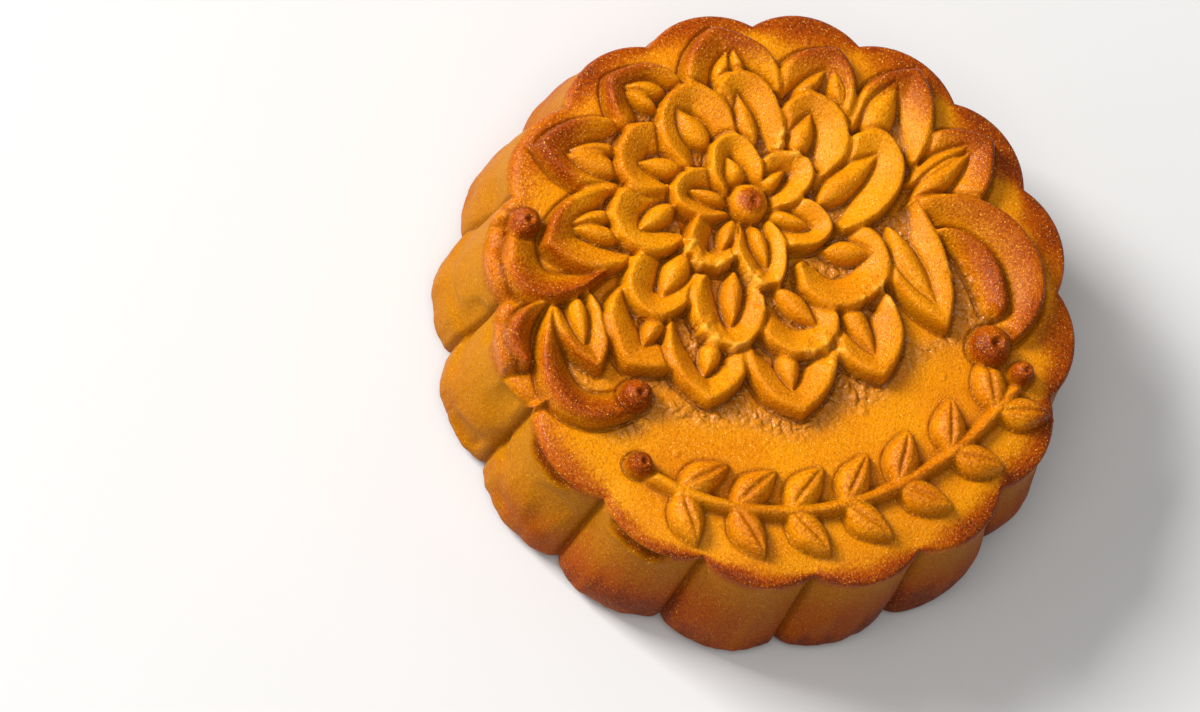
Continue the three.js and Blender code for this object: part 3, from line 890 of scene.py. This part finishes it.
def paint(piece, plan):
    """Numbers for the material: toasting, which holds painted shade on the wall, painted shade
    in the hollows, torn crust, wet glaze and the wall.
    """
    mesh = piece.data
    places = np.empty(len(mesh.vertices) * 3, np.float32)
    mesh.vertices.foreach_get("co", places)
    x, y, z = places.reshape(-1, 3).T / MM
    px, py = x / RIM, y / RIM
    angle = np.arctan2(py, px)
    on_top = smooth(FACE - 1.6, FACE - 0.6, z)
    # Painted shade: in the slits and notches of the wall, and in the creases and hollows of the
    # face.
    crease_shade = mix(wall_hollow_shade(angle, z), read(plan.crease_shade, px, py), on_top)
    # On the wall, the toasting also holds painted shade.
    add_number(mesh, "toast", all_toast_and_shade(plan, angle, px, py, z, on_top).clip(0, 1))
    add_number(mesh, "crease_shade", crease_shade.clip(0, SLIT_SHADE))
    add_number(mesh, "flaky", (read(plan.flaky, px, py) * on_top).clip(0, 1))
    add_number(mesh, "wet", (read(plan.wet, px, py) * on_top).clip(0, 1))
    add_number(mesh, "wall", 1 - on_top)


# ---- the crust's material ------------------------------------------------------------------

class Nodes:
    """Short names for making shader nodes."""

    def __init__(self, material):
        material.use_nodes = True
        self.tree = material.node_tree
        self.tree.nodes.clear()

    def add(self, kind, **settings):
        node = self.tree.nodes.new(kind)
        for key, value in settings.items():
            setattr(node, key, value)
        return node

    def join(self, output, target):
        self.tree.links.new(output, target)

    def number(self, name):
        """A number painted on the mesh."""
        node = self.add("ShaderNodeAttribute", attribute_name=name)
        return node.outputs["Fac"]

    def noise(self, scale, detail=2.0, roughness=0.5):
        """Noise in object space. scale is swings to a metre."""
        place = self.add("ShaderNodeTexCoord")
        node = self.add("ShaderNodeTexNoise")
        node.inputs["Scale"].default_value = scale
        node.inputs["Detail"].default_value = detail
        node.inputs["Roughness"].default_value = roughness
        self.join(place.outputs["Object"], node.inputs["Vector"])
        return node.outputs["Fac"]

    def span(self, value, low, high, to_low=0.0, to_high=1.0):
        """to_low where the value is low, to_high where it is high, and an easy curve between."""
        node = self.add("ShaderNodeMapRange", interpolation_type="SMOOTHSTEP")
        self.join(value, node.inputs["Value"])
        for key, number in zip(("From Min", "From Max", "To Min", "To Max"),
                               (low, high, to_low, to_high)):
            node.inputs[key].default_value = number
        return node.outputs["Result"]

    def maths(self, operation, *values):
        node = self.add("ShaderNodeMath", operation=operation)
        for socket, value in zip(node.inputs, values):
            if isinstance(value, (int, float)):
                socket.default_value = value
            else:
                self.join(value, socket)
        return node.outputs[0]

    def times(self, a, b):
        return self.maths("MULTIPLY", a, b)

    def plus(self, a, b):
        return self.maths("ADD", a, b)

    def blend(self, share, a, b):
        """Colour a where the share is 0, and b where it is 1."""
        node = self.add("ShaderNodeMix", data_type="RGBA")
        self.join(share, node.inputs[0])
        for socket, value in zip((node.inputs[6], node.inputs[7]), (a, b)):
            if isinstance(value, tuple):
                socket.default_value = (*value, 1)
            else:
                self.join(value, socket)
        return node.outputs[2]

    def surface(self):
        """A shader that is joined to the material's output."""
        shader = self.add("ShaderNodeBsdfPrincipled")
        output = self.add("ShaderNodeOutputMaterial")
        self.join(shader.outputs["BSDF"], output.inputs["Surface"])
        return shader


GOLD = (0.66, 0.23, 0.001)
AMBER = (0.58, 0.178, 0.001)
WALL = (0.38, 0.138, 0.0)
TOASTED = (0.28, 0.038, 0.0)
SCORCHED = (0.11, 0.014, 0.003)
# painted shade for the creases, hollows, slits and notches
CREVICE_SHADE = (0.1, 0.013, 0.0)
SYRUP = (0.45, 0.15, 0.008)
FLAKY = (0.85, 0.4, 0.04)
# painted glints: bright golden flecks
PAINTED_GLINT = (1.0, 0.56, 0.09)
PIT = (0.28, 0.055, 0.0)
GLINT = (1.0, 0.66, 0.25)

# Swings to a metre of the noises in the crust.
PATCHES = 90
FOLDS = 620
SPECKS = 2500
GRAINS = 4400

# How much of the colours is laid on.
SPECKED = 0.3                 # toasted specks on the plain crust
TOAST_RAGGED = 0.14           # how much specks shift the browning
TOAST_SHARE = 0.95
SCORCH_SHARE = 0.85
CREVICE_SHADE_SHARE = 0.72
SYRUP_SHARE = 0.8
FLAKY_SHARE = 0.7
PIT_SHARE = 0.5
PAINTED_GLINT_SHARE = 0.65            # painted glints, as golden flecks on the face
WALL_PAINTED_GLINT_SHARE = 0.45       # and on the wall

# Gloss: a dull golden sheen, with a clear glaze over it.
SHEEN = 0.08
CRUST_IOR = 1.25
SMOOTH_CRUST = 0.24           # roughness where the crust is smoothest
ROUGH_CRUST = 0.38            # and where it is roughest
WALL_ROUGHER = 0.15
WET_SMOOTHER = 0.12
FACE_GLAZE = 0.28
WALL_GLAZE = 0.03
POOL_GLAZE = 0.6              # added where glaze has pooled
GLAZE_ROUGHNESS = 0.16
GLAZE_IOR = 1.4

# Relief too fine for the mesh.
BUMP_STRENGTH = 0.85
BUMP_DISTANCE = 0.0002        # metres
GRAIN_BUMP = 0.5
SPECK_BUMP = 0.7
FOLD_BUMP = 1.4


def crust_colour(n, grain, speck, wet, wall):
    """Golden dough with browned parts and the wall's painted shade, painted shade in the
    creases, pooled glaze, painted glints as golden flecks, and pits.
    """
    toast = n.plus(n.number("toast"), n.span(speck, 0.3, 0.7, -TOAST_RAGGED, TOAST_RAGGED))
    colour = n.blend(n.span(n.noise(PATCHES, detail=3), 0.35, 0.65), GOLD, AMBER)
    colour = n.blend(wall, colour, WALL)
    colour = n.blend(n.span(speck, 0.5, 0.72, 0, SPECKED), colour, TOASTED)
    colour = n.blend(n.times(wet, SYRUP_SHARE), colour, SYRUP)
    colour = n.blend(n.span(toast, 0.0, 0.85, 0, TOAST_SHARE), colour, TOASTED)
    colour = n.blend(n.span(toast, 0.7, 1.08, 0, SCORCH_SHARE), colour, SCORCHED)
    # Painted shade in the creases, hollows, slits and notches.
    colour = n.blend(n.times(n.number("crease_shade"), CREVICE_SHADE_SHARE), colour, CREVICE_SHADE)
    colour = n.blend(n.times(n.number("flaky"), FLAKY_SHARE), colour, FLAKY)
    # Painted glints: bright golden flecks where the grain is high.
    glint_share = n.plus(n.times(wall, WALL_PAINTED_GLINT_SHARE - PAINTED_GLINT_SHARE), PAINTED_GLINT_SHARE)
    colour = n.blend(n.times(n.span(grain, 0.61, 0.72), glint_share), colour, PAINTED_GLINT)
    return n.blend(n.span(grain, 0.44, 0.3, 0, PIT_SHARE), colour, PIT)


def crust_roughness(n, grain, wet, wall):
    rough = n.span(grain, 0.3, 0.7, SMOOTH_CRUST, ROUGH_CRUST)
    rough = n.maths("SUBTRACT", rough, n.times(wet, WET_SMOOTHER))
    return n.plus(rough, n.times(wall, WALL_ROUGHER))


def crust_relief(n, grain, speck, wet):
    """Fine grain all over, and folds in the pooled glaze."""
    folds = n.maths("ABSOLUTE", n.maths("SUBTRACT", n.noise(FOLDS, detail=1.5), 0.5))
    folds = n.times(n.span(folds, 0.0, 0.2), wet)
    height = n.plus(n.times(grain, GRAIN_BUMP), n.times(speck, SPECK_BUMP))
    height = n.plus(height, n.times(folds, FOLD_BUMP))
    bump = n.add("ShaderNodeBump")
    bump.inputs["Strength"].default_value = BUMP_STRENGTH
    bump.inputs["Distance"].default_value = BUMP_DISTANCE
    n.join(height, bump.inputs["Height"])
    return bump.outputs["Normal"]


def crust_material():
    """Golden, finely grained baked dough with a thin egg glaze."""
    crust = bpy.data.materials.new(SLOT)
    n = Nodes(crust)
    grain = n.noise(GRAINS, detail=2, roughness=0.6)
    speck = n.noise(SPECKS, detail=2, roughness=0.6)
    wet = n.number("wet")
    wall = n.number("wall")
    relief = crust_relief(n, grain, speck, wet)
    glaze = n.plus(n.span(wall, 0, 1, FACE_GLAZE, WALL_GLAZE), n.times(wet, POOL_GLAZE))
    shader = n.surface()
    n.join(crust_colour(n, grain, speck, wet, wall), shader.inputs["Base Color"])
    n.join(crust_roughness(n, grain, wet, wall), shader.inputs["Roughness"])
    n.join(relief, shader.inputs["Normal"])
    n.join(glaze, shader.inputs["Coat Weight"])
    n.join(relief, shader.inputs["Coat Normal"])
    shader.inputs["Specular IOR Level"].default_value = SHEEN
    shader.inputs["Specular Tint"].default_value = (*GLINT, 1)
    shader.inputs["IOR"].default_value = CRUST_IOR
    shader.inputs["Coat Roughness"].default_value = GLAZE_ROUGHNESS
    shader.inputs["Coat IOR"].default_value = GLAZE_IOR
    return crust


def make_cake():
    plan = make_plan()
    cake = bpy.data.objects.new(PIECE, mesh_from(*cake_surface(plan)))
    bpy.context.scene.collection.objects.link(cake)
    thin_out(cake, TRIANGLES)
    cake.data.shade_smooth()
    paint(cake, plan)
    cake.data.materials.append(crust_material())
    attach(cake, "root")
    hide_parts(NODE)


# ---- floor, light and camera ---------------------------------------------------------------

FLOOR_REACH = 3.0             # half the side of the floor, metres
FLOOR_COLOUR = (0.6, 0.59, 0.58)
FLOOR_ROUGHNESS = 0.9

CAMERA_DISTANCE = 20.37       # rim radii
CAMERA_ELEVATION = 66.6       # degrees
CAMERA_AZIMUTH = -141.5       # degrees from +X
CAMERA_ROLL = -36.8           # degrees
AIM = (-0.705, -0.072)        # where the view's middle meets the face, rim radii
LENS = 180                    # mm
SENSOR = 36                   # mm
NEAREST = 0.01                # metres, where the view starts

# Lights as name, direction in the camera's own axes, power in watts and side in metres.
LIGHTS = [
    ("key", (-0.57, 0.6, 0.6), 34, 0.5),
    ("side", (-0.9, 0.05, 0.5), 5, 1.0),
    ("front", (0.0, 0.1, 1.0), 10, 1.0),
]
LIGHT_DISTANCE = 1.5          # metres
SKY = 0.25


def make_floor():
    mesh = bpy.data.meshes.new("studio_floor")
    reach = FLOOR_REACH
    corners = [(-reach, -reach, 0), (reach, -reach, 0), (reach, reach, 0), (-reach, reach, 0)]
    mesh.from_pydata(corners, [], [(0, 1, 2, 3)])
    floor = bpy.data.objects.new("studio_floor", mesh)
    bpy.context.scene.collection.objects.link(floor)
    pale = bpy.data.materials.new("pale_floor")
    shader = Nodes(pale).surface()
    shader.inputs["Base Color"].default_value = (*FLOOR_COLOUR, 1)
    shader.inputs["Roughness"].default_value = FLOOR_ROUGHNESS
    mesh.materials.append(pale)


def make_camera():
    """A camera at the photo's viewing angle."""
    azimuth = math.radians(CAMERA_AZIMUTH)
    elevation = math.radians(CAMERA_ELEVATION)
    roll = math.radians(CAMERA_ROLL)
    back = Vector((
        math.cos(azimuth) * math.cos(elevation),
        math.sin(azimuth) * math.cos(elevation),
        math.sin(elevation),
    ))
    level = Vector((0, 0, 1)).cross(back).normalized()
    rise = back.cross(level)
    up = level * math.sin(roll) + rise * math.cos(roll)
    aim = Vector((AIM[0] * RIM, AIM[1] * RIM, FACE)) * MM
    data = bpy.data.cameras.new("camera")
    data.lens = LENS
    data.sensor_width = SENSOR
    data.clip_start = NEAREST
    camera = bpy.data.objects.new("camera", data)
    bpy.context.scene.collection.objects.link(camera)
    camera.location = aim + back * CAMERA_DISTANCE * RIM * MM
    camera.rotation_euler = Matrix((up.cross(back), up, back)).transposed().to_euler()
    bpy.context.scene.camera = camera
    return camera


def make_light(name, towards, power, size):
    """A soft square light on the side that a direction points to, aimed at the cake."""
    data = bpy.data.lights.new(name, "AREA")
    data.energy = power
    data.size = size
    light = bpy.data.objects.new(name, data)
    bpy.context.scene.collection.objects.link(light)
    way = Vector(towards).normalized()
    light.location = way * LIGHT_DISTANCE
    light.rotation_euler = way.to_track_quat("Z", "Y").to_euler()


def make_lights(camera):
    """A key light from the upper left of the view, two weaker ones, and an even sky."""
    turn = camera.rotation_euler.to_matrix()
    for name, direction, power, size in LIGHTS:
        make_light(name, turn @ Vector(direction), power, size)
    world = bpy.data.worlds.new("studio")
    world.use_nodes = True
    sky = world.node_tree.nodes["Background"]
    sky.inputs["Color"].default_value = (1, 1, 1, 1)
    sky.inputs["Strength"].default_value = SKY
    bpy.context.scene.world = world


bpy.context.scene.view_settings.view_transform = "Standard"
make_lights(make_camera())
make_floor()
make_cake()
